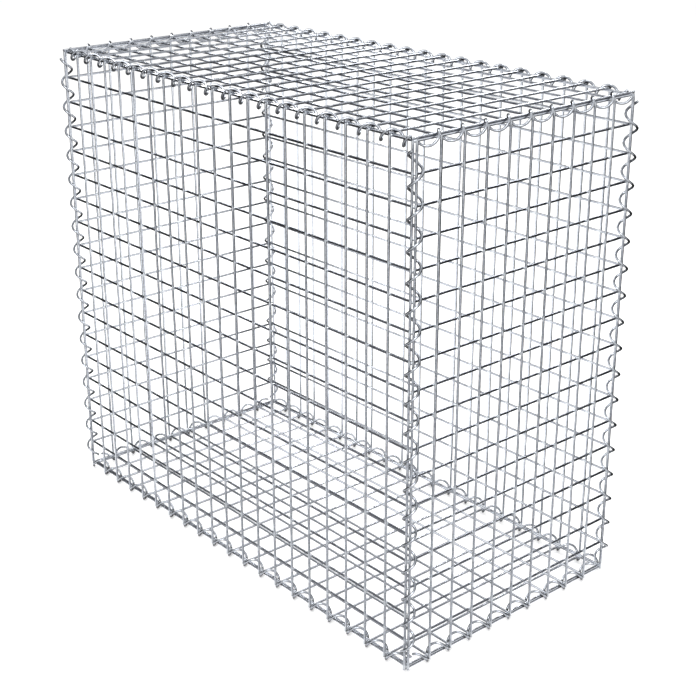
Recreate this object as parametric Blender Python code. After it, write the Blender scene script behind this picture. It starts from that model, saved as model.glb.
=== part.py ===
"""Gabion basket of welded mesh, laced shut along its twelve edges with spiral binders.

Metres, +Z up. The origin is on the ground under the middle of the basket.
The long sides face -Y and +Y, the short sides face -X and +X.

Each mesh panel is two nodes. The "ladder" is every upright between the sides,
welded to the first and last cross wire. The "rungs" are every other cross wire,
welded to the two side wires. The cross wires lie on the inner layer of a panel
and the uprights on its outer layer.
"""

import math

import bmesh
import bpy
from mathutils import Vector

# Driving sizes
MESH = 0.050
LONG_MESHES = 20
SHORT_MESHES = 10
HIGH_MESHES = 18
WIRE = 0.004
CLEARANCE = 0.0003
WELD_DEPTH = 0.0002
LID_WELD_LAP = 0.0003
UPRIGHT_FOOT = 0.004

# Spiral binders
BINDER_WIRE = 0.004
BINDER_RADIUS = 0.0105
BINDER_SEGMENTS = 6
BINDER_INWARD = 0.0016
BINDER_EASE = 0.0006
CORNER_TURN = math.radians(10.4)
SHORT_TOP_BINDER_SHORT = 0.006
SHORT_FOOT_BINDER_SHORT = 0.018
CORNER_BINDER_SHORT = 0.003

# Worked out from the driving sizes
HALF_LONG = LONG_MESHES * MESH / 2
HALF_SHORT = SHORT_MESHES * MESH / 2
HALF_WIRE = WIRE / 2
BINDER_FACTOR = 2 / (1 + math.cos(math.pi / BINDER_SEGMENTS))
BINDER_REACH = (BINDER_RADIUS + BINDER_WIRE / 2) * BINDER_FACTOR
BINDER_DROP = BINDER_REACH * math.cos(math.pi / BINDER_SEGMENTS)
BINDER_BORE = BINDER_DROP * (BINDER_RADIUS - BINDER_WIRE / 2) / (BINDER_RADIUS + BINDER_WIRE / 2)

# How far the faces of the two layers stand outward of the inner layer's middle
INNER_BACK = -HALF_WIRE
INNER_FACE = HALF_WIRE
OUTER_BACK = INNER_FACE + CLEARANCE
OUTER_FACE = OUTER_BACK + WIRE

# The welded wires of a node sink into each other by this much
RAIL_FACE = OUTER_BACK + WELD_DEPTH
SIDE_BACK = INNER_FACE - WELD_DEPTH
SIDE_SHIFT = WELD_DEPTH + CLEARANCE

# The lid and the base lie inside the four walls
LID_SPACE = WIRE + CLEARANCE
LID_RISE = WELD_DEPTH + CLEARANCE
LID_CROSS_END = HALF_LONG - HALF_WIRE - CLEARANCE
LID_SIDE_LINE = LID_CROSS_END + HALF_WIRE - LID_WELD_LAP

# The basket stands on its foot binders, whose flats lie under the wires of the base.
# The top binders hang on the wires of the lid in the same way.
FOOT_AXIS = BINDER_DROP
FLOOR_LEVEL = FOOT_AXIS - BINDER_BORE + BINDER_EASE + OUTER_FACE + LID_RISE
TOP_LEVEL = FLOOR_LEVEL + HIGH_MESHES * MESH
TOP_AXIS = TOP_LEVEL + LID_RISE + OUTER_FACE + BINDER_EASE - BINDER_BORE

# A corner binder goes round two side wires and leans on the long panel's one
CORNER_MIDDLE = (OUTER_FACE - SIDE_SHIFT - HALF_WIRE) / 2
CORNER_HALF = (OUTER_FACE + SIDE_SHIFT + HALF_WIRE) / 2
LEAN_TURN = CORNER_TURN + math.tau / BINDER_SEGMENTS
CORNER_LEAN = BINDER_BORE - CLEARANCE - CORNER_HALF * (math.cos(LEAN_TURN) + math.sin(LEAN_TURN))

ZINC = (0.62, 0.65, 0.68, 1.0)
ZINC_ROUGHNESS = 0.32


def clear_scene():
    """Removes whatever the scene holds."""
    for item in list(bpy.data.objects):
        bpy.data.objects.remove(item, do_unlink=True)


def zinc_coating():
    """Bright hot-dip zinc, shared by every wire."""
    material = bpy.data.materials.new("bright_zinc")
    material.use_nodes = True
    shader = material.node_tree.nodes["Principled BSDF"]
    shader.inputs["Base Color"].default_value = ZINC
    shader.inputs["Metallic"].default_value = 1.0
    shader.inputs["Roughness"].default_value = ZINC_ROUGHNESS
    return material


class Frame:
    """A panel's own axes: across it, outward of it and along its uprights."""

    def __init__(self, origin, across, outward, along):
        self.origin = Vector(origin)
        self.across = Vector(across)
        self.outward = Vector(outward)
        self.along = Vector(along)

    def point(self, across, outward, along):
        """Gives the world point for a place in the panel's own axes."""
        return self.origin + self.across * across + self.outward * outward + self.along * along


def add_hexahedron(mesh, corners):
    """Adds a closed bar from its four corners at one end and four at the other."""
    points = [mesh.verts.new(corner) for corner in corners]
    mesh.faces.new(points[0:4])
    mesh.faces.new(points[4:8])
    for index in range(4):
        follow = (index + 1) % 4
        mesh.faces.new((points[index], points[follow], points[follow + 4], points[index + 4]))


def add_cross_wire(mesh, frame, level, ends, faces, mitre):
    """Adds a wire across the panel. With a mitre its inner face is cut back by its depth."""
    back, face = faces
    low, high = ends
    cut = face - back if mitre else 0.0
    outline = []
    for sign, end in ((-1, low), (1, high)):
        inner_end = end - sign * cut
        outline.append(frame.point(inner_end, back, level - HALF_WIRE))
        outline.append(frame.point(end, face, level - HALF_WIRE))
        outline.append(frame.point(end, face, level + HALF_WIRE))
        outline.append(frame.point(inner_end, back, level + HALF_WIRE))
    add_hexahedron(mesh, outline)


def add_upright(mesh, frame, line, ends, faces):
    """Adds a wire along the panel at one line across it."""
    back, face = faces
    outline = []
    for end in ends:
        outline.append(frame.point(line - HALF_WIRE, back, end))
        outline.append(frame.point(line + HALF_WIRE, back, end))
        outline.append(frame.point(line + HALF_WIRE, face, end))
        outline.append(frame.point(line - HALF_WIRE, face, end))
    add_hexahedron(mesh, outline)


def make_object(name, mesh, material):
    """Turns a bmesh into a named object with its faces pointing out."""
    bmesh.ops.recalc_face_normals(mesh, faces=mesh.faces)
    data = bpy.data.meshes.new(name)
    mesh.to_mesh(data)
    mesh.free()
    data.materials.append(material)
    item = bpy.data.objects.new(name, data)
    bpy.context.scene.collection.objects.link(item)
    return item


def weld(name, base, added, material):
    """Makes one body of two sets of wires that sink into each other."""
    body = make_object(name, base, material)
    tool = make_object(name + "_welded_on", added, material)
    tool.hide_render = True
    tool.display_type = "WIRE"
    union = body.modifiers.new("weld", "BOOLEAN")
    union.operation = "UNION"
    union.solver = "EXACT"
    union.object = tool
    return body


def grid_lines(count, half):
    """Gives the lines between the two sides of a grid of meshes."""
    return [index * MESH - half for index in range(1, count)]


def wall(name, frame, half_width, meshes_wide, material):
    """Makes one upright wall panel as a ladder and its rungs."""
    side_line = half_width - SIDE_SHIFT
    rail_end = side_line - HALF_WIRE - CLEARANCE
    rung_end = side_line + HALF_WIRE - CLEARANCE
    foot = FLOOR_LEVEL - HALF_WIRE - UPRIGHT_FOOT
    head = TOP_LEVEL + HALF_WIRE

    rails = bmesh.new()
    for level in (FLOOR_LEVEL, TOP_LEVEL):
        add_cross_wire(rails, frame, level, (-rail_end, rail_end), (INNER_BACK, RAIL_FACE), False)
    uprights = bmesh.new()
    for line in grid_lines(meshes_wide, half_width):
        add_upright(uprights, frame, line, (foot, head), (OUTER_BACK, OUTER_FACE))
    weld(name + "_ladder", rails, uprights, material)

    sides = bmesh.new()
    for line in (-side_line, side_line):
        add_upright(sides, frame, line, (foot, head), (SIDE_BACK, OUTER_FACE))
    rungs = bmesh.new()
    for step in range(1, HIGH_MESHES):
        level = FLOOR_LEVEL + step * MESH
        add_cross_wire(rungs, frame, level, (-rung_end, rung_end), (INNER_BACK, INNER_FACE), True)
    weld(name + "_rungs", sides, rungs, material)


def flat_panel(name, frame, reach, material):
    """Makes the lid or the base, whose uprights run the short way and end at reach."""
    rail_line = HALF_SHORT - LID_SPACE
    rail_end = LID_SIDE_LINE - HALF_WIRE - CLEARANCE

    rails = bmesh.new()
    for line in (-rail_line, rail_line):
        add_cross_wire(rails, frame, line, (-rail_end, rail_end), (INNER_BACK, RAIL_FACE), False)
    uprights = bmesh.new()
    for line in grid_lines(LONG_MESHES, HALF_LONG):
        add_upright(uprights, frame, line, (-reach, reach), (OUTER_BACK, OUTER_FACE))
    weld(name + "_ladder", rails, uprights, material)

    sides = bmesh.new()
    for line in (-LID_SIDE_LINE, LID_SIDE_LINE):
        add_upright(sides, frame, line, (-reach, reach), (SIDE_BACK, OUTER_FACE))
    rungs = bmesh.new()
    ends = (-LID_CROSS_END, LID_CROSS_END)
    for line in grid_lines(SHORT_MESHES, HALF_SHORT):
        add_cross_wire(rungs, frame, line, ends, (INNER_BACK, INNER_FACE), False)
    weld(name + "_rungs", sides, rungs, material)


def binder(name, frame, span, hand, start, material):
    """Winds one binder about the frame's along axis, one turn to each mesh.

    The angle runs from across towards outward, is start at every grid line, and
    the flats of the binder are centred on that angle.
    """
    half_length = BINDER_WIRE / 2
    radii = [(BINDER_RADIUS - BINDER_WIRE / 2) * BINDER_FACTOR, BINDER_REACH]
    low, high = span
    step = MESH / BINDER_SEGMENTS
    first = math.ceil((low + half_length) / step - 0.5)
    last = math.floor((high - half_length) / step - 0.5)

    mesh = bmesh.new()
    sections = []
    for index in range(first, last + 1):
        along = (index + 0.5) * step
        angle = start + hand * math.tau * along / MESH
        section = []
        for radius, side in ((radii[0], -1), (radii[1], -1), (radii[1], 1), (radii[0], 1)):
            place = frame.point(radius * math.cos(angle), radius * math.sin(angle), along + side * half_length)
            section.append(mesh.verts.new(place))
        sections.append(section)
    for before, after in zip(sections, sections[1:]):
        for index in range(4):
            follow = (index + 1) % 4
            mesh.faces.new((before[index], before[follow], after[follow], after[index]))
    mesh.faces.new(sections[0])
    mesh.faces.new(sections[-1])
    return make_object(name, mesh, material)


def walls_and_lids(material):
    """Makes the six mesh panels."""
    wall("front_panel", Frame((0, -HALF_SHORT, 0), (1, 0, 0), (0, -1, 0), (0, 0, 1)),
         HALF_LONG, LONG_MESHES, material)
    wall("back_panel", Frame((0, HALF_SHORT, 0), (1, 0, 0), (0, 1, 0), (0, 0, 1)),
         HALF_LONG, LONG_MESHES, material)
    wall("left_panel", Frame((-HALF_LONG, 0, 0), (0, 1, 0), (-1, 0, 0), (0, 0, 1)),
         HALF_SHORT, SHORT_MESHES, material)
    wall("right_panel", Frame((HALF_LONG, 0, 0), (0, 1, 0), (1, 0, 0), (0, 0, 1)),
         HALF_SHORT, SHORT_MESHES, material)
    lid_reach = HALF_SHORT + OUTER_FACE
    flat_panel("lid", Frame((0, 0, TOP_LEVEL + LID_RISE), (1, 0, 0), (0, 0, 1), (0, 1, 0)),
               lid_reach, material)
    base_reach = HALF_SHORT + SIDE_BACK - CLEARANCE
    flat_panel("base", Frame((0, 0, FLOOR_LEVEL - LID_RISE), (1, 0, 0), (0, 0, -1), (0, 1, 0)),
               base_reach, material)


def long_binders(material):
    """Laces the long edges of the lid and the base, all wound left-handed."""
    for side, side_name in ((-1, "front"), (1, "back")):
        for end, end_name in ((-1, "foot"), (1, "top")):
            level = TOP_AXIS if end > 0 else FOOT_AXIS
            frame = Frame((0, side * (HALF_SHORT - BINDER_INWARD), level), (0, 1, 0), (0, 0, 1), (1, 0, 0))
            binder("binder_%s_%s" % (end_name, side_name), frame, (-HALF_LONG, HALF_LONG), -1,
                   end * math.pi / 2, material)


def short_binders(material):
    """Laces the short edges, left-handed at the lid and right-handed at the base."""
    for side, side_name in ((-1, "left"), (1, "right")):
        for end, end_name in ((-1, "foot"), (1, "top")):
            level = TOP_AXIS if end > 0 else FOOT_AXIS
            short = SHORT_TOP_BINDER_SHORT if end > 0 else SHORT_FOOT_BINDER_SHORT
            reach = HALF_SHORT - short
            frame = Frame((side * (HALF_LONG - BINDER_INWARD), 0, level), (0, 0, 1), (1, 0, 0), (0, 1, 0))
            start = 0.0 if end > 0 else math.pi
            binder("binder_%s_%s" % (end_name, side_name), frame, (-reach, reach), -end, start, material)


def corner_binders(material):
    """Laces the four upright corners, in two mirrored pairs."""
    for across, across_name in ((-1, "left"), (1, "right")):
        for away, away_name in ((-1, "front"), (1, "back")):
            right = across * (HALF_LONG + CORNER_MIDDLE + CORNER_LEAN * math.cos(LEAN_TURN))
            back = away * (HALF_SHORT + CORNER_MIDDLE - CORNER_LEAN * math.sin(LEAN_TURN))
            frame = Frame((right, back, FLOOR_LEVEL), (1, 0, 0), (0, 1, 0), (0, 0, 1))
            start = math.atan2(-away * math.sin(CORNER_TURN), across * math.cos(CORNER_TURN))
            span = (CORNER_BINDER_SHORT, HIGH_MESHES * MESH - CORNER_BINDER_SHORT)
            binder("binder_%s_%s_corner" % (away_name, across_name), frame, span, -across * away,
                   start, material)


def main():
    """Builds the basket."""
    clear_scene()
    material = zinc_coating()
    walls_and_lids(material)
    long_binders(material)
    short_binders(material)
    corner_binders(material)


main()
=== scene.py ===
"""Looks of a closed gabion basket: zinc-coated welded mesh laced with spiral binders.

Everything is in metres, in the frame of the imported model: X along the long side,
Y along the short side and Z up from the ground.
"""

from __future__ import annotations

import logging
import math
import random
from dataclasses import dataclass, field
from enum import Enum, auto
from typing import Any, Sequence

import bpy
from mathutils import Matrix, Vector

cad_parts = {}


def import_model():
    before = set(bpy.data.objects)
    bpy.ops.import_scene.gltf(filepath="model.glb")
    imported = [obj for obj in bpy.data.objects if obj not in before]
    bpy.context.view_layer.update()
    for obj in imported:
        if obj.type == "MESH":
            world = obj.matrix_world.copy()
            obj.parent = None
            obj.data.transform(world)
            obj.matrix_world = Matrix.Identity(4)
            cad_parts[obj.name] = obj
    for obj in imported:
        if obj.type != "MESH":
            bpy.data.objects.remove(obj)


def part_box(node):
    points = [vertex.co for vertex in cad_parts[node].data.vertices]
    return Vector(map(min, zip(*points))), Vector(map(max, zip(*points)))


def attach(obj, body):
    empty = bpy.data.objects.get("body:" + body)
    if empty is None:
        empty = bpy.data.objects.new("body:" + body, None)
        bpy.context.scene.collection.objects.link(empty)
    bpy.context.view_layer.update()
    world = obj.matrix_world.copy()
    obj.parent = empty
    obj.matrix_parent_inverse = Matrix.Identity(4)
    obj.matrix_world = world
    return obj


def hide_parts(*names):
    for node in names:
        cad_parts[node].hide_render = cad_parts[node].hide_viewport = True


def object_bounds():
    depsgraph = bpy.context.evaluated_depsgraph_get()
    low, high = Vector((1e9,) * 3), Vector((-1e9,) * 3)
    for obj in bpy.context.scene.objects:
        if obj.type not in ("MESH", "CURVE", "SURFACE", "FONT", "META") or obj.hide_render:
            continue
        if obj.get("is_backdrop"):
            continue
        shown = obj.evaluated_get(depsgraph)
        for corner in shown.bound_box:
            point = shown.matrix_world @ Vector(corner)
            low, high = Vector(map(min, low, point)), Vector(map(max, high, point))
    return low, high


LOG = logging.getLogger("gabion_basket")
ROOT_BODY = "root"
PLACE_ATTRIBUTE = "wire_place"
TONE_ATTRIBUTE = "wire_tone"
SHARP_EDGE = math.radians(38)

Colour = tuple[float, float, float]
Place = tuple[float, float, float]

BLACK: Colour = (0.0, 0.0, 0.0)
WHITE: Colour = (1.0, 1.0, 1.0)
UP: Place = (0.0, 0.0, 1.0)
DOWN: Place = (0.0, 0.0, -1.0)
TO_LEFT: Place = (-1.0, 0.0, 0.0)
TO_BACK: Place = (0.0, 1.0, 0.0)


class Axis(Enum):
    """The three directions of the basket."""

    X = 0
    Y = 1
    Z = 2

    def vector(self, length: float = 1.0) -> Vector:
        """Points along the axis.

        Args:
            length: the vector's length, below zero for the other way.

        Returns:
            The vector.
        """
        made = Vector((0.0, 0.0, 0.0))
        made[self.value] = length
        return made


class Hand(Enum):
    """The way a spiral binder is wound."""

    LEFT = -1
    RIGHT = 1


class Cut(Enum):
    """How the ends of a straight wire are cut."""

    SQUARE = auto()
    MITRE = auto()


@dataclass(frozen=True)
class Gauge:
    """How thick a wire is and how finely it is meshed."""

    diameter: float = 0.004
    sides: int = 14
    end_bevel: float = 0.0005

    @property
    def radius(self) -> float:
        """Half of the diameter."""
        return self.diameter / 2

    @property
    def round_radius(self) -> float:
        """The radius of a round wire with the section of the source's square bar."""
        return self.diameter / math.sqrt(math.pi)


@dataclass(frozen=True)
class BasketSizes:
    """The basket's grid and wire. The level of the lowest cross wires is read from the frame."""

    floor_level: float
    mesh: float = 0.050
    long_meshes: int = 20
    short_meshes: int = 10
    high_meshes: int = 18
    clearance: float = 0.0003
    side_shift: float = 0.0005
    wire: Gauge = Gauge()

    @classmethod
    def from_frame(cls) -> BasketSizes:
        """Counts the levels down from the walls' highest cross wires.

        Returns:
            The sizes that every panel and binder shares.
        """
        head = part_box("front_panel_ladder")[1][2]
        return cls(floor_level=head - cls.wire.radius - cls.high_meshes * cls.mesh)

    @property
    def half_long(self) -> float:
        """From the middle to the grid line of a short wall."""
        return self.long_meshes * self.mesh / 2

    @property
    def half_short(self) -> float:
        """From the middle to the grid line of a long wall."""
        return self.short_meshes * self.mesh / 2

    def inner_lines(self, count: int) -> list[float]:
        """Gives the grid lines between the two sides of a panel.

        Args:
            count: how many meshes lie side by side.

        Returns:
            The places of the lines, about the panel's middle.
        """
        return [(step - count / 2) * self.mesh for step in range(1, count)]


class Value:
    """A socket of a shader, on which Python's operators add Math nodes."""

    def __init__(self, graph: ShaderGraph, socket: bpy.types.NodeSocket) -> None:
        """Wraps one output socket of a graph."""
        self.graph = graph
        self.socket = socket

    def _math(self, operation: str, *values: Any, clamp: bool = False) -> Value:
        """Adds one Math node.

        Args:
            operation: the node's operation.
            values: the numbers or values that it works on.
            clamp: whether the result is limited to between 0 and 1.

        Returns:
            The node's result.
        """
        settings = {"operation": operation, "use_clamp": clamp}
        return self.graph.value("ShaderNodeMath", 0, settings, dict(enumerate(values)))

    def __add__(self, other: Any) -> Value:
        """Adds."""
        return self._math("ADD", self, other)

    __radd__ = __add__

    def __sub__(self, other: Any) -> Value:
        """Takes away."""
        return self._math("SUBTRACT", self, other)

    def __rsub__(self, other: Any) -> Value:
        """Is taken away from a number."""
        return self._math("SUBTRACT", other, self)

    def __mul__(self, other: Any) -> Value:
        """Multiplies."""
        return self._math("MULTIPLY", self, other)

    __rmul__ = __mul__

    def __truediv__(self, other: Any) -> Value:
        """Divides."""
        return self._math("DIVIDE", self, other)

    def __rtruediv__(self, other: Any) -> Value:
        """Divides a number."""
        return self._math("DIVIDE", other, self)

    def __neg__(self) -> Value:
        """Turns the sign round."""
        return 0.0 - self

    def __abs__(self) -> Value:
        """Drops the sign."""
        return self._math("ABSOLUTE", self)

    def fraction(self) -> Value:
        """Keeps what is behind the point."""
        return self._math("FRACT", self)

    def clamped(self) -> Value:
        """Limits the value to between 0 and 1."""
        return self._math("ADD", self, 0.0, clamp=True)

    def larger(self, other: Any) -> Value:
        """Gives the larger of the two."""
        return self._math("MAXIMUM", self, other)


class MixSocket(Enum):
    """The numbers of a Mix node's sockets for colours."""

    FACTOR = 0
    FIRST = 6
    SECOND = 7
    RESULT = 2


class ShaderGraph:
    """The node tree of one material or world."""

    def __init__(self, owner: bpy.types.Material | bpy.types.World) -> None:
        """Empties the owner's node tree."""
        owner.use_nodes = True
        self.tree = owner.node_tree
        self.tree.nodes.clear()

    def add(self, kind: str, settings: dict[str, Any] | None = None,
            inputs: dict[Any, Any] | None = None) -> bpy.types.Node:
        """Adds a node of any type.

        Args:
            kind: the node's type name.
            settings: properties of the node, set first.
            inputs: values or links of its sockets, by name or number.

        Returns:
            The node.
        """
        node = self.tree.nodes.new(kind)
        for name, setting in (settings or {}).items():
            setattr(node, name, setting)
        for name, given in (inputs or {}).items():
            socket = node.inputs[name]
            if isinstance(given, Value):
                self.tree.links.new(given.socket, socket)
            elif isinstance(given, bpy.types.NodeSocket):
                self.tree.links.new(given, socket)
            else:
                socket.default_value = given
        return node

    def value(self, kind: str, output: str | int, settings: dict[str, Any] | None = None,
              inputs: dict[Any, Any] | None = None) -> Value:
        """Adds a node for one of its outputs.

        Args:
            kind: the node's type name.
            output: the name or number of the output.
            settings: properties of the node, set first.
            inputs: values or links of its sockets, by name or number.

        Returns:
            The output.
        """
        return Value(self, self.add(kind, settings, inputs).outputs[output])

    def mix(self, factor: Value, first: Value | Colour, second: Value | Colour) -> Value:
        """Mixes two colours.

        Args:
            factor: the share of the second colour.
            first: the colour at 0.
            second: the colour at 1.

        Returns:
            The mixed colour.
        """
        start, end = (given if isinstance(given, Value) else (*given, 1.0) for given in (first, second))
        return self.value(
            "ShaderNodeMix", MixSocket.RESULT.value,
            {"data_type": "RGBA", "clamp_factor": True},
            {MixSocket.FACTOR.value: factor, MixSocket.FIRST.value: start, MixSocket.SECOND.value: end},
        )

    def height(self, direction: bpy.types.NodeSocket) -> Value:
        """Gives the upward part of a place or direction."""
        return self.value("ShaderNodeSeparateXYZ", "Z", None, {0: direction})


@dataclass(frozen=True)
class WeldGrid:
    """Where the crossings of a welded panel lie, for the finish round each weld."""

    across: Axis
    along: Axis
    mesh: float
    across_start: float
    along_start: float
    core: float = 0.0026
    fade: float = 0.0060

    def mask(self, graph: ShaderGraph) -> Value:
        """Marks the crossings.

        Args:
            graph: the material's nodes.

        Returns:
            1 at a crossing, falling to 0 a few millimetres away.
        """
        place = graph.add("ShaderNodeTexCoord").outputs["Object"]
        parts = graph.add("ShaderNodeSeparateXYZ", None, {0: place}).outputs
        found: Value | None = None
        for axis, start in ((self.across, self.across_start), (self.along, self.along_start)):
            cell = (Value(graph, parts[axis.value]) - start) / self.mesh + 0.5
            distance = abs(cell.fraction() - 0.5) * self.mesh
            near = (1.0 - (distance - self.core) / (self.fade - self.core)).clamped()
            found = near if found is None else found * near
        return found


@dataclass(frozen=True)
class WeldMarkAndHighlight:
    """A weld's marks and painted highlight: the zinc round each crossing is drawn lighter, a painted
    highlight, and is rougher and raised.
    """

    colour: Colour = (0.50, 0.52, 0.55)
    least: float = 0.55
    mottle: float = 0.6
    roughness: float = 0.08
    relief: float = 1.5


@dataclass(frozen=True)
class PaintedShade:
    """Painted shade: zinc drawn near black on the underside of a wire and near the ground, standing in for
    the shade below it and its contact shadow.
    """

    colour: Colour = (0.015, 0.016, 0.019)
    share: float = 0.95
    slope: float = 1.7
    side: float = 0.35
    level: float = 0.0125
    fade: float = 0.004

    def mask(self, graph: ShaderGraph) -> Value:
        """Marks where the shade is painted.

        Args:
            graph: the material's nodes.

        Returns:
            The painted shade's share at each place.
        """
        facing = graph.add("ShaderNodeNewGeometry").outputs["Normal"]
        place = graph.add("ShaderNodeTexCoord").outputs["Object"]
        # Painted shade on the surfaces that face down, and a painted contact shadow within a few millimetres
        # of the ground.
        below = (-graph.height(facing) * self.slope - self.side).clamped()
        low = ((self.level - graph.height(place)) / self.fade).clamped()
        return below.larger(low) * self.share


@dataclass(frozen=True)
class PatternWeights:
    """How strongly each pattern of the zinc counts."""

    mottle: float
    grain: float
    cloud: float
    drawn: float


@dataclass(frozen=True)
class ZincPatterns:
    """The patterns of a zinc surface, each between 0 and 1."""

    mottle: Value
    grain: Value
    cloud: Value
    drawn: Value

    def blend(self, weights: PatternWeights) -> Value:
        """Adds the patterns up.

        Args:
            weights: how strongly each counts.

        Returns:
            Their sum.
        """
        return (
            self.mottle * weights.mottle
            + self.grain * weights.grain
            + self.cloud * weights.cloud
            + self.drawn * weights.drawn
        )


@dataclass(frozen=True)
class ZincFinish:
    """A zinc coating: its colours, gloss and surface."""

    name: str
    bright: Colour
    dull: Colour
    roughness: float
    roughness_spread: float
    mottle_scale: float
    spangle_scale: float
    draw_scale: float
    relief: float
    cloud_size: float = 12.0
    draw_width: float = 4.0
    bump_strength: float = 0.6
    dullness: float = 0.55
    wear_weights: PatternWeights = PatternWeights(mottle=0.9, grain=0.35, cloud=0.5, drawn=0.3)
    height_weights: PatternWeights = PatternWeights(mottle=0.5, grain=0.25, cloud=0.0, drawn=0.6)
    weld: WeldMarkAndHighlight = WeldMarkAndHighlight()
    # Painted shade on the wires' undersides and near the ground, where a finish has it.
    painted_shade: PaintedShade | None = None

    def material(self, grid: WeldGrid | None, suffix: str) -> bpy.types.Material:
        """Makes the coating's material.

        Args:
            grid: where the welds are, or None on a wire without welds.
            suffix: what is added to the finish's name.

        Returns:
            The material.
        """
        made = bpy.data.materials.new("%s_%s" % (self.name, suffix))
        graph = ShaderGraph(made)
        patterns = self._patterns(graph)
        # The wire_tone attribute holds each wire's own random tone and, on the panels, the painted light or
        # shade of its kind.
        tone = graph.value("ShaderNodeAttribute", "Fac", {"attribute_name": TONE_ATTRIBUTE})
        wear = (patterns.blend(self.wear_weights) - self.dullness + tone).clamped()
        colour = graph.mix(wear, self.dull, self.bright)
        rough = self.roughness + (1.0 - wear) * self.roughness_spread
        height = patterns.blend(self.height_weights)
        if grid is not None:
            # At the welds the colour is mixed towards a lighter one, a painted highlight; the extra
            # roughness and relief are the welds' own marks.
            welded = grid.mask(graph)
            weld_highlight = welded * (self.weld.least + patterns.mottle * self.weld.mottle)
            colour = graph.mix(weld_highlight, colour, self.weld.colour)
            rough = rough + welded * self.weld.roughness
            height = height + welded * patterns.mottle * self.weld.relief
        # Mixes the painted shade in: the undersides and the feet are drawn near black.
        if self.painted_shade is not None:
            colour = graph.mix(self.painted_shade.mask(graph), colour, self.painted_shade.colour)
        bump = graph.add("ShaderNodeBump", None, {
            "Strength": self.bump_strength, "Distance": self.relief, "Height": height})
        shader = graph.add("ShaderNodeBsdfPrincipled", None, {
            "Base Color": colour, "Metallic": 1.0, "Roughness": rough, "Normal": bump.outputs[0]})
        graph.add("ShaderNodeOutputMaterial", None, {"Surface": shader.outputs[0]})
        return made

    def _patterns(self, graph: ShaderGraph) -> ZincPatterns:
        """Draws the zinc's mottle, spangle grain and clouds, and the lines of a drawn wire.

        Args:
            graph: the material's nodes.

        Returns:
            The patterns.
        """
        place = graph.add("ShaderNodeTexCoord").outputs["Object"]
        mottle = graph.value("ShaderNodeTexNoise", "Fac", None, {
            "Vector": place, "Scale": self.mottle_scale, "Detail": 4.0, "Roughness": 0.6})
        cloud = graph.value("ShaderNodeTexNoise", "Fac", None, {
            "Vector": place, "Scale": self.mottle_scale / self.cloud_size, "Detail": 2.0})
        spangle = graph.value("ShaderNodeTexVoronoi", "Color", {"feature": "F1"}, {
            "Vector": place, "Scale": self.spangle_scale})
        grain = graph.value("ShaderNodeSeparateColor", 0, None, {0: spangle})
        along = graph.value("ShaderNodeAttribute", "Vector", {"attribute_name": PLACE_ATTRIBUTE})
        stretched = graph.value("ShaderNodeVectorMath", 0, {"operation": "MULTIPLY"}, {
            0: along, 1: (self.draw_scale, self.draw_width, self.draw_width)})
        drawn = graph.value("ShaderNodeTexNoise", "Fac", None, {
            "Vector": stretched, "Scale": 1.0, "Detail": 3.0})
        return ZincPatterns(mottle, grain, cloud, drawn)


PANEL_ZINC = ZincFinish(
    name="dipped_zinc",
    bright=(0.53, 0.555, 0.60),
    dull=(0.19, 0.20, 0.225),
    roughness=0.11,
    roughness_spread=0.08,
    mottle_scale=320.0,
    spangle_scale=520.0,
    draw_scale=14.0,
    relief=0.00008,
)
BINDER_ZINC = ZincFinish(
    name="drawn_zinc",
    bright=(0.52, 0.545, 0.585),
    dull=(0.18, 0.19, 0.215),
    roughness=0.12,
    roughness_spread=0.10,
    mottle_scale=260.0,
    spangle_scale=600.0,
    draw_scale=30.0,
    relief=0.00005,
    # The binders' undersides and feet get painted shade.
    painted_shade=PaintedShade(),
)


def circle(centre: Vector, first: Vector, second: Vector, radius: float, sides: int) -> list[Vector]:
    """Places points round a circle.

    Args:
        centre: its middle.
        first: the unit vector from the middle to the first point.
        second: the unit vector a quarter turn further.
        radius: its radius.
        sides: how many points it has.

    Returns:
        The points, in order.
    """
    turn = math.tau / sides
    return [
        centre + first * (radius * math.cos(turn * index)) + second * (radius * math.sin(turn * index))
        for index in range(sides)
    ]


@dataclass(frozen=True)
class WeldBead:
    """The squeezed metal and zinc in the corner of a welded crossing."""

    spread: float = 0.0031
    depth: float = 0.0012
    rings: int = 5
    sides: int = 10


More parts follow.
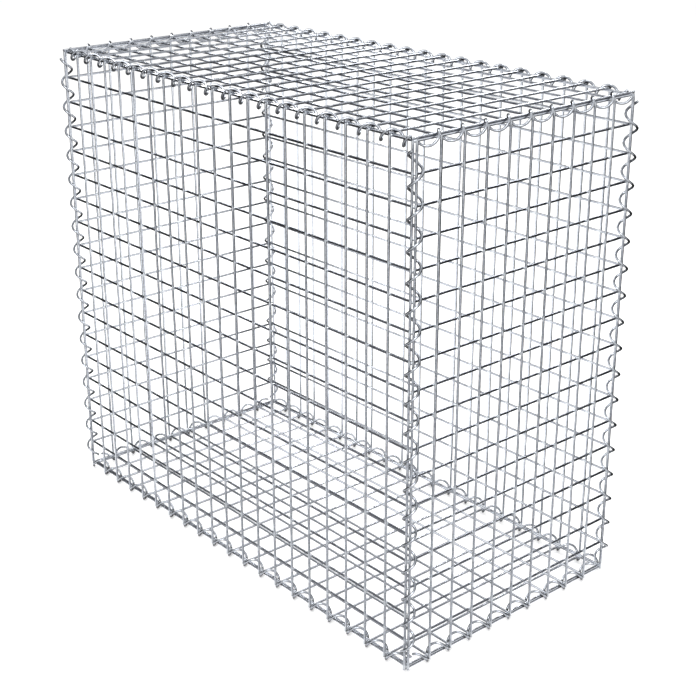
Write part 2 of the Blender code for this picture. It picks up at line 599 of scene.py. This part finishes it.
class WireMesh:
    """Collects round wires and welds, and makes one object of them."""

    def __init__(self, gauge: Gauge) -> None:
        """Starts empty."""
        self.gauge = gauge
        self.points: list[Vector] = []
        self.faces: list[list[int]] = []
        self.places: list[tuple[float, float, float]] = []
        self.tones: list[float] = []

    def add_rings(self, rings: Sequence[Sequence[Vector]], along: Sequence[float], tone: float) -> None:
        """Joins rings of points into a closed tube with flat ends.

        Args:
            rings: the points of each ring, in the same turning sense.
            along: how far along the wire each ring lies.
            tone: how much lighter or darker this wire is.
        """
        first = len(self.points)
        sides = len(rings[0])
        for ring, distance in zip(rings, along):
            for index, point in enumerate(ring):
                angle = math.tau * index / sides
                self.points.append(point)
                self.places.append((distance, math.cos(angle), math.sin(angle)))
                self.tones.append(tone)
        for row in range(len(rings) - 1):
            low = first + row * sides
            high = low + sides
            for index in range(sides):
                follow = (index + 1) % sides
                self.faces.append([low + index, low + follow, high + follow, high + index])
        last = first + (len(rings) - 1) * sides
        self.faces.append([first + index for index in reversed(range(sides))])
        self.faces.append([last + index for index in range(sides)])

    def add_straight(self, start: Vector, end: Vector, outward: Vector, cut: Cut, tone: float) -> None:
        """Adds a straight wire with softly cut ends.

        Args:
            start: one end of its centre line.
            end: the other end.
            outward: the panel's outward direction.
            cut: how its ends are cut. A mitre is at 45 degrees, short on the inner side.
            tone: how much lighter or darker this wire is.
        """
        run = (end - start).normalized()
        side = run.cross(outward)
        bevel = self.gauge.end_bevel
        radius = self.gauge.round_radius
        length = (end - start).length
        stations = (
            (0.0, radius - bevel, -1.0),
            (bevel, radius, -1.0),
            (length - bevel, radius, 1.0),
            (length, radius - bevel, 1.0),
        )
        rings = []
        for distance, ring_radius, sign in stations:
            middle = start + run * distance
            ring = circle(middle, outward, side, ring_radius, self.gauge.sides)
            if cut is Cut.MITRE:
                ring = [point + run * (sign * (point - middle).dot(outward)) for point in ring]
            rings.append(ring)
        self.add_rings(rings, [station[0] for station in stations], tone)

    def add_weld(self, bead: WeldBead, centre: Vector, across: Vector, along: Vector,
                 outward: Vector, tone: float) -> None:
        """Adds a bead at a welded crossing.

        Args:
            bead: its size.
            centre: where the two wires touch.
            across: the direction of the cross wire.
            along: the direction of the upright.
            outward: the panel's outward direction.
            tone: how much lighter or darker it is.
        """
        rings = []
        for step in range(bead.rings):
            rise = math.pi * ((step + 0.5) / bead.rings - 0.5)
            middle = centre + outward * (bead.depth * math.sin(rise))
            rings.append(circle(middle, across, along, bead.spread * math.cos(rise), bead.sides))
        self.add_rings(rings, [0.0] * bead.rings, tone)

    def make_object(self, name: str, material: bpy.types.Material) -> bpy.types.Object:
        """Turns what was collected into a shaded object.

        Args:
            name: the object's name.
            material: its only material.

        Returns:
            The object, in the scene.
        """
        data = bpy.data.meshes.new(name)
        data.from_pydata(self.points, [], self.faces)
        place = data.attributes.new(PLACE_ATTRIBUTE, "FLOAT_VECTOR", "POINT")
        place.data.foreach_set("vector", [part for row in self.places for part in row])
        tone = data.attributes.new(TONE_ATTRIBUTE, "FLOAT", "POINT")
        tone.data.foreach_set("value", self.tones)
        data.update()
        data.shade_smooth()
        data.set_sharp_from_angle(angle=SHARP_EDGE)
        data.materials.append(material)
        made = bpy.data.objects.new(name, data)
        bpy.context.scene.collection.objects.link(made)
        return made


@dataclass(frozen=True)
class PanelLightAndTone:
    """How much lighter or darker than its finish each wire of a panel is drawn. The leans of the uprights,
    the cross wires and the rails are painted light and shade, lit and shaded copies of the zinc for where
    light and reflections fall on each panel; the spread is the zinc's own random tone.
    """

    uprights: float
    cross_wires: float
    # The rails' lean draws the first and last cross wires lighter, a painted highlight.
    rails: float = 0.3
    spread: float = 0.09


@dataclass
class MeshPanel:
    """One welded panel: uprights on its outer layer, cross wires behind them."""

    name: str
    nodes: tuple[str, str]
    sizes: BasketSizes
    across: Axis
    outward: Axis
    along: Axis
    side: int
    upright_lines: list[float]
    upright_ends: tuple[float, float]
    cross_lines: list[float]
    cross_end: float
    cross_cut: Cut
    grid_start: tuple[float, float]
    tone: PanelLightAndTone
    sink: float = 0.97
    bead: WeldBead = WeldBead()
    rng: random.Random = field(default_factory=lambda: random.Random(11))

    @property
    def inner_middle(self) -> float:
        """Where the middle of the cross wires' layer lies."""
        low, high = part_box(self.nodes[0])
        back = low if self.side > 0 else high
        return back[self.outward.value] + self.side * self.sizes.wire.radius

    @property
    def layer(self) -> float:
        """From the middle of the cross wires' layer to that of the uprights' layer."""
        return self.sizes.wire.diameter * self.sink

    def place(self, across: float, outward: float, along: float) -> Vector:
        """Gives the point for a place in the panel's own axes.

        Args:
            across: how far along a cross wire.
            outward: how far out from the cross wires' layer.
            along: how far along an upright.

        Returns:
            The point.
        """
        return (
            self.across.vector(across)
            + self.outward.vector(self.inner_middle + self.side * outward)
            + self.along.vector(along)
        )

    def pick_tone(self, lean: float = 0.0) -> float:
        """Picks how much lighter or darker a wire or weld is: the zinc's own random tone, round the lean of
        its kind, which is painted light or shade.
        """
        return lean + self.rng.uniform(-self.tone.spread, self.tone.spread)

    def build(self, finish: ZincFinish) -> bpy.types.Object:
        """Builds the panel and dresses it.

        Args:
            finish: the panel's coating.

        Returns:
            The piece, which replaces the panel's two nodes.
        """
        wires = WireMesh(self.sizes.wire)
        self._add_wires(wires)
        self._add_welds(wires)
        grid = WeldGrid(self.across, self.along, self.sizes.mesh, *self.grid_start)
        piece = wires.make_object(self.name, finish.material(grid, self.name))
        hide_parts(*self.nodes)
        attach(piece, ROOT_BODY)
        return piece

    def _add_wires(self, wires: WireMesh) -> None:
        """Adds the uprights, and then the cross wires with the two rails.

        Args:
            wires: what they are added to.
        """
        outward = self.outward.vector(self.side)
        low, high = self.upright_ends
        for line in self.upright_lines:
            wires.add_straight(self.place(line, self.layer, low), self.place(line, self.layer, high),
                               outward, Cut.SQUARE, self.pick_tone(self.tone.uprights))
        # The uprights, the rails and the other cross wires each get their kind's lean, which is painted
        # light or shade.
        rails = (self.cross_lines[0], self.cross_lines[-1])
        for line in self.cross_lines:
            lean = self.tone.rails if line in rails else self.tone.cross_wires
            wires.add_straight(self.place(-self.cross_end, 0.0, line), self.place(self.cross_end, 0.0, line),
                               outward, self.cross_cut, self.pick_tone(lean))

    def _add_welds(self, wires: WireMesh) -> None:
        """Adds a weld at every crossing.

        Args:
            wires: what they are added to.
        """
        across, along, outward = self.across.vector(), self.along.vector(), self.outward.vector(self.side)
        for upright in self.upright_lines:
            for cross in self.cross_lines:
                centre = self.place(upright, self.layer / 2, cross)
                wires.add_weld(self.bead, centre, across, along, outward, self.pick_tone())


@dataclass
class SpiralBinder:
    """One coil that laces two panels along an edge, a turn to each mesh."""

    node: str
    sizes: BasketSizes
    axis: Axis
    hand: Hand
    start: float
    grid_start: float
    seat: Vector
    gauge: Gauge = Gauge(0.004, 12, 0.0006)
    coil_radius: float = 0.0105
    steps_a_turn: int = 32
    tone_range: tuple[float, float] = (-0.03, 0.08)
    rng: random.Random = field(default_factory=lambda: random.Random(5))

    def directions(self) -> tuple[Vector, Vector]:
        """Gives the two directions between which the angle of the coil is measured."""
        pairs = {Axis.X: (Axis.Y, Axis.Z), Axis.Y: (Axis.Z, Axis.X), Axis.Z: (Axis.X, Axis.Y)}
        first, second = pairs[self.axis]
        return first.vector(), second.vector()

    def build(self, finish: ZincFinish) -> bpy.types.Object:
        """Winds the coil and dresses it.

        Args:
            finish: the binder's coating.

        Returns:
            The piece, which replaces the binder's node.
        """
        low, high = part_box(self.node)
        middle = (Vector(low) + Vector(high)) / 2 + self.seat
        middle[self.axis.value] = 0.0
        begin = low[self.axis.value] + self.gauge.radius
        end = high[self.axis.value] - self.gauge.radius
        rings, along = self._wind(middle, begin, end)
        wires = WireMesh(self.gauge)
        wires.add_rings(rings, along, self.rng.uniform(*self.tone_range))
        piece = wires.make_object(self.node + "_coil", finish.material(None, self.node))
        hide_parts(self.node)
        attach(piece, ROOT_BODY)
        return piece

    def _wind(self, middle: Vector, begin: float, end: float) -> tuple[list[list[Vector]], list[float]]:
        """Winds the wire's sections round the coil's axis.

        Args:
            middle: where the axis runs.
            begin: where the wire starts along the axis.
            end: where it ends.

        Returns:
            The sections, and how far along the wire each one lies.
        """
        bevel = self.gauge.end_bevel
        radius = self.gauge.round_radius
        count = math.ceil((end - begin) / self.sizes.mesh * self.steps_a_turn)
        step_length = math.hypot(math.tau * self.coil_radius, self.sizes.mesh) / self.steps_a_turn
        stations = [(step, 0.0, radius) for step in range(count + 1)]
        stations.insert(0, (0, -bevel, radius - bevel))
        stations.append((count, bevel, radius - bevel))
        rings, along = [], []
        for step, shift, ring_radius in stations:
            radial, tangent, reach = self._aim(begin + (end - begin) * step / count)
            centre = middle + reach + radial * self.coil_radius + tangent * shift
            rings.append(circle(centre, radial, tangent.cross(radial), ring_radius, self.gauge.sides))
            along.append(step * step_length + shift)
        return rings, along

    def _aim(self, place: float) -> tuple[Vector, Vector, Vector]:
        """Finds how the wire runs at a place along the coil's axis.

        Args:
            place: the place.

        Returns:
            The way out from the axis, the way along the wire, and the step along the axis.
        """
        first, second = self.directions()
        slope = self.hand.value * math.tau / self.sizes.mesh
        angle = self.start + slope * (place - self.grid_start)
        radial = first * math.cos(angle) + second * math.sin(angle)
        round_axis = second * math.cos(angle) - first * math.sin(angle)
        tangent = (self.axis.vector() + round_axis * (slope * self.coil_radius)).normalized()
        return radial, tangent, self.axis.vector(place)


@dataclass
class Basket:
    """The whole basket: six panels and twelve binders."""

    sizes: BasketSizes
    corner_turn: float = math.radians(10.4)

    def walls(self) -> list[MeshPanel]:
        """Describes the four upright panels."""
        sizes = self.sizes
        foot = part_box("front_panel_ladder")[0][2]
        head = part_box("front_panel_ladder")[1][2]
        made = []
        # These leans paint light and shade: the front and right panels' cross wires are drawn darker as
        # painted shade, and the back and left panels' uprights lighter as painted light.
        for name, across, outward, side, meshes, tone in (
            ("front_panel", Axis.X, Axis.Y, -1, sizes.long_meshes, PanelLightAndTone(0.0, -0.38)),
            ("back_panel", Axis.X, Axis.Y, 1, sizes.long_meshes, PanelLightAndTone(0.30, -0.08)),
            ("left_panel", Axis.Y, Axis.X, -1, sizes.short_meshes, PanelLightAndTone(0.30, -0.02)),
            ("right_panel", Axis.Y, Axis.X, 1, sizes.short_meshes, PanelLightAndTone(-0.04, -0.40)),
        ):
            half = meshes * sizes.mesh / 2
            edge = half - sizes.side_shift
            made.append(MeshPanel(
                name=name + "_mesh",
                nodes=(name + "_ladder", name + "_rungs"),
                sizes=sizes,
                across=across,
                outward=outward,
                along=Axis.Z,
                side=side,
                upright_lines=[-edge, *sizes.inner_lines(meshes), edge],
                upright_ends=(foot, head),
                cross_lines=[sizes.floor_level + step * sizes.mesh for step in range(sizes.high_meshes + 1)],
                cross_end=half - sizes.clearance,
                cross_cut=Cut.MITRE,
                grid_start=(0.0, sizes.floor_level),
                tone=tone,
            ))
        return made

    def lids(self) -> list[MeshPanel]:
        """Describes the lid and the base."""
        sizes = self.sizes
        rail = sizes.half_short - sizes.wire.diameter - sizes.clearance
        made = []
        # The lid's wires are drawn darker as painted shade, and the base's lighter as painted light.
        for name, side, tone in (
            ("lid", 1, PanelLightAndTone(-0.1, -0.1)),
            ("base", -1, PanelLightAndTone(0.18, 0.18)),
        ):
            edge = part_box(name + "_rungs")[1][0] - sizes.wire.radius
            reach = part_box(name + "_ladder")[1][1]
            made.append(MeshPanel(
                name=name + "_mesh",
                nodes=(name + "_ladder", name + "_rungs"),
                sizes=sizes,
                across=Axis.X,
                outward=Axis.Z,
                along=Axis.Y,
                side=side,
                upright_lines=[-edge, *sizes.inner_lines(sizes.long_meshes), edge],
                upright_ends=(-reach, reach),
                cross_lines=[-rail, *sizes.inner_lines(sizes.short_meshes), rail],
                cross_end=sizes.half_long - sizes.wire.radius - sizes.clearance,
                cross_cut=Cut.SQUARE,
                grid_start=(0.0, 0.0),
                tone=tone,
            ))
        return made

    def binders(self) -> list[SpiralBinder]:
        """Describes the twelve spiral binders."""
        made = []
        for end, end_name in ((-1, "foot"), (1, "top")):
            seat = Vector((0.0, 0.0, -end * self.seat_rise(end_name)))
            for side_name in ("front", "back"):
                made.append(SpiralBinder("binder_%s_%s" % (end_name, side_name), self.sizes, Axis.X,
                                         Hand.LEFT, end * math.pi / 2, 0.0, seat))
            hand = Hand.LEFT if end > 0 else Hand.RIGHT
            start = 0.0 if end > 0 else math.pi
            for side_name in ("left", "right"):
                made.append(SpiralBinder("binder_%s_%s" % (end_name, side_name), self.sizes, Axis.Y,
                                         hand, start, 0.0, seat))
        for across, across_name in ((-1, "left"), (1, "right")):
            for away, away_name in ((-1, "front"), (1, "back")):
                start = math.atan2(-away * math.sin(self.corner_turn), across * math.cos(self.corner_turn))
                hand = Hand.LEFT if across == away else Hand.RIGHT
                made.append(SpiralBinder("binder_%s_%s_corner" % (away_name, across_name), self.sizes,
                                         Axis.Z, hand, start, self.sizes.floor_level, Vector()))
        return made

    @staticmethod
    def seat_rise(end_name: str) -> float:
        """Finds how far a round coil moves to touch the plane that its faceted solid touches.

        Args:
            end_name: which end of the walls the binder is at, foot or top.

        Returns:
            The distance.
        """
        low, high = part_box("binder_%s_front" % end_name)
        coil = SpiralBinder.coil_radius + SpiralBinder.gauge.radius
        return coil - (high[2] - low[2]) / 2

    def build(self) -> None:
        """Builds every piece and reports it."""
        for panel in [*self.walls(), *self.lids()]:
            report(panel.build(PANEL_ZINC))
        for binder in self.binders():
            report(binder.build(BINDER_ZINC))


def report(piece: bpy.types.Object) -> None:
    """Logs a piece's name and its count of faces."""
    LOG.info("%s: %d faces", piece.name, len(piece.data.polygons))


@dataclass(frozen=True)
class PhotoCamera:
    """The camera at the photograph's viewing angle. Pixels are of a 696 by 696 image."""

    position: Place = (1.9209, -1.6111, 1.3712)
    yaw: float = math.radians(50.16)
    pitch: float = math.radians(-20.01)
    roll: float = math.radians(-0.38)
    image_pixels: float = 696.0
    focal_pixels: float = 1378.9
    middle_pixel: tuple[float, float] = (323.4, 299.0)
    sensor: float = 36.0

    def build(self, ground: float) -> bpy.types.Object:
        """Makes the camera and sets it as the scene's.

        Args:
            ground: the level from which the position's height is counted.

        Returns:
            The camera.
        """
        forward = Vector((
            -math.cos(self.pitch) * math.sin(self.yaw),
            math.cos(self.pitch) * math.cos(self.yaw),
            math.sin(self.pitch),
        ))
        level_right = forward.cross(Vector(UP)).normalized()
        level_up = level_right.cross(forward)
        right = level_right * math.cos(self.roll) + level_up * math.sin(self.roll)
        up = level_up * math.cos(self.roll) - level_right * math.sin(self.roll)
        data = bpy.data.cameras.new("photo_camera")
        data.sensor_width = self.sensor
        data.lens = self.focal_pixels / self.image_pixels * self.sensor
        half = self.image_pixels / 2
        data.shift_x = (half - self.middle_pixel[0]) / self.image_pixels
        data.shift_y = (self.middle_pixel[1] - half) / self.image_pixels
        camera = bpy.data.objects.new("photo_camera", data)
        bpy.context.scene.collection.objects.link(camera)
        turned = Matrix((right, up, -forward)).transposed().to_4x4()
        camera.matrix_world = Matrix.Translation(Vector(self.position) + Vector((0.0, 0.0, ground))) @ turned
        bpy.context.scene.camera = camera
        return camera


def stage_plane(name: str, middle: Place, size: tuple[float, float], facing: Place) -> bpy.types.Object:
    """Makes a flat piece of the studio.

    Args:
        name: its name.
        middle: where its middle lies.
        size: its width and height.
        facing: the direction of its face.

    Returns:
        The piece, which isn't a part of the basket.
    """
    half_x, half_y = size[0] / 2, size[1] / 2
    data = bpy.data.meshes.new(name)
    corners = [(-half_x, -half_y, 0), (half_x, -half_y, 0), (half_x, half_y, 0), (-half_x, half_y, 0)]
    data.from_pydata(corners, [], [(0, 1, 2, 3)])
    made = bpy.data.objects.new(name, data)
    made.location = middle
    made.rotation_euler = Vector(facing).to_track_quat("Z", "Y").to_euler()
    bpy.context.scene.collection.objects.link(made)
    made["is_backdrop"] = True
    return made


@dataclass(frozen=True)
class SoftBox:
    """A soft lamp aimed at the basket."""

    name: str
    position: Place
    width: float
    height: float
    power: float

    def build(self, target: Vector) -> None:
        """Hangs the lamp.

        Args:
            target: the point that it is aimed at.
        """
        data = bpy.data.lights.new(self.name, "AREA")
        data.shape = "RECTANGLE"
        data.size = self.width
        data.size_y = self.height
        data.energy = self.power
        lamp = bpy.data.objects.new(self.name, data)
        lamp.location = self.position
        lamp.rotation_euler = (target - lamp.location).to_track_quat("-Z", "Y").to_euler()
        lamp.visible_camera = False
        bpy.context.scene.collection.objects.link(lamp)


@dataclass(frozen=True)
class Card:
    """A dark or bright card that only the zinc's reflections show, and only from its face."""

    name: str
    position: Place
    facing: Place
    width: float
    height: float
    glow: float

    def build(self) -> None:
        """Stands the card in the studio."""
        placed = stage_plane(self.name, self.position, (self.width, self.height), self.facing)
        material = bpy.data.materials.new(self.name + "_paper")
        graph = ShaderGraph(material)
        face = graph.add("ShaderNodeEmission", None, {"Color": (*WHITE, 1.0), "Strength": self.glow})
        behind = graph.value("ShaderNodeNewGeometry", "Backfacing")
        clear = graph.add("ShaderNodeBsdfTransparent")
        shader = graph.add("ShaderNodeMixShader", None, {0: behind, 1: face.outputs[0], 2: clear.outputs[0]})
        graph.add("ShaderNodeOutputMaterial", None, {"Surface": shader.outputs[0]})
        placed.data.materials.append(material)
        placed.visible_camera = False
        placed.visible_diffuse = False
        placed.visible_shadow = False


@dataclass(frozen=True)
class Studio:
    """A pale floor, soft lamps, and cards for the zinc to reflect.

    The walls' uprights show the grounds and the floor_bounce. The cross wires show the
    cards round the basket, and the far panels show the bounces that stand inside it.
    """

    floor_colour: Colour = (0.86, 0.86, 0.86)
    floor_size: float = 60.0
    floor_glow: float = 0.36
    floor_drop: float = 0.0005
    surround: Colour = (0.72, 0.72, 0.72)
    cards: tuple[Card, ...] = (
        Card("left_ground", (-2.55, -1.55, 0.001), UP, 4.0, 3.7, 0.1),
        Card("right_ground", (2.2, 2.25, 0.001), UP, 4.0, 3.9, 0.1),
        Card("back_ground", (-2.1, 2.3, 0.001), UP, 4.6, 3.9, 0.12),
        Card("back_card", (-3.0, 2.5, 1.7), (3.0, -2.5, 0.0), 7.0, 3.4, 0.06),
        Card("left_card", (-3.2, -2.7, 1.6), (3.2, 2.7, -0.7), 6.4, 3.6, 0.03),
        Card("right_card", (3.0, 2.7, 1.5), (-3.0, -2.7, -1.0), 4.6, 3.2, 0.03),
        Card("front_card", (3.6, -3.2, 1.5), (-3.6, 3.2, -1.0), 5.0, 3.0, 1.8),
        Card("ceiling_card", (0.0, 0.0, 3.3), DOWN, 4.0, 4.0, 1.35),
        Card("floor_bounce", (2.0, -2.35, 0.002), UP, 4.7, 4.1, 1.1),
        Card("side_bounce", (2.45, -0.1, 0.002), UP, 3.8, 0.4, 1.1),
        Card("long_bounce", (-0.13, 0.06, 0.43), TO_BACK, 1.24, 0.86, 1.9),
        Card("short_bounce", (-0.2, 0.0, 0.43), TO_LEFT, 1.0, 0.84, 1.9),
        Card("under_basket", (0.0, 0.0, 0.001), UP, 1.0, 0.52, 0.7),
        Card("right_rail_bounce", (0.58, 0.05, 0.95), TO_LEFT, 0.75, 0.11, 1.3),
        Card("left_rail_bounce", (-0.43, 0.05, 0.955), TO_LEFT, 0.75, 0.08, 1.3),
        Card("base_bounce", (0.0, 0.0, 0.30), DOWN, 0.95, 0.45, 1.5),
    )
    lamps: tuple[SoftBox, ...] = (
        SoftBox("key_softbox", (2.6, -3.0, 3.6), 2.4, 1.8, 120.0),
        SoftBox("left_softbox", (-2.5, 0.0, 2.9), 0.7, 0.7, 30.0),
        SoftBox("right_softbox", (0.0, 2.1, 2.9), 0.7, 0.7, 30.0),
        SoftBox("top_softbox", (-0.4, 0.3, 4.2), 3.0, 2.4, 90.0),
    )

    def build(self, target: Vector) -> None:
        """Sets up the studio round the basket.

        Args:
            target: the point that the lamps are aimed at.
        """
        self._world()
        self._floor()
        for card in self.cards:
            card.build()
        for lamp in self.lamps:
            lamp.build(target)
        bpy.context.scene.view_settings.view_transform = "Standard"

    @staticmethod
    def _seen(graph: ShaderGraph) -> Value:
        """Picks the rays that show the background.

        Args:
            graph: the nodes of the floor or the world.

        Returns:
            1 for camera, glossy and transmission rays, and otherwise 0.
        """
        rays = graph.add("ShaderNodeLightPath").outputs
        seen = Value(graph, rays["Is Camera Ray"]).larger(Value(graph, rays["Is Glossy Ray"]))
        return seen.larger(Value(graph, rays["Is Transmission Ray"]))

    def _world(self) -> None:
        """Makes a white background that lights the basket softly."""
        world = bpy.data.worlds.new("studio_world")
        bpy.context.scene.world = world
        graph = ShaderGraph(world)
        colour = graph.mix(self._seen(graph), self.surround, WHITE)
        shader = graph.add("ShaderNodeBackground", None, {"Color": colour, "Strength": 1.0})
        graph.add("ShaderNodeOutputWorld", None, {"Surface": shader.outputs[0]})

    def _floor(self) -> None:
        """Lays the pale floor, which looks white and keeps the basket's shadow."""
        floor = stage_plane("floor", (0.0, 0.0, -self.floor_drop), (self.floor_size, self.floor_size), UP)
        material = bpy.data.materials.new("pale_floor")
        graph = ShaderGraph(material)
        diffuse = graph.add("ShaderNodeBsdfDiffuse", None, {"Color": (*self.floor_colour, 1.0)})
        glow = graph.mix(self._seen(graph), BLACK, (self.floor_glow, self.floor_glow, self.floor_glow))
        emission = graph.add("ShaderNodeEmission", None, {"Color": glow, "Strength": 1.0})
        both = graph.add("ShaderNodeAddShader", None, {0: diffuse.outputs[0], 1: emission.outputs[0]})
        graph.add("ShaderNodeOutputMaterial", None, {"Surface": both.outputs[0]})
        floor.data.materials.append(material)


def main() -> None:
    """Builds the dressed basket in its studio."""
    logging.basicConfig(level=logging.INFO, format="%(name)s %(message)s")
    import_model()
    cad_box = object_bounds()
    sizes = BasketSizes.from_frame()
    Basket(sizes).build()
    PhotoCamera().build(sizes.floor_level)
    low, high = cad_box
    Studio().build((low + high) / 2)


if __name__ == "__main__":
    main()
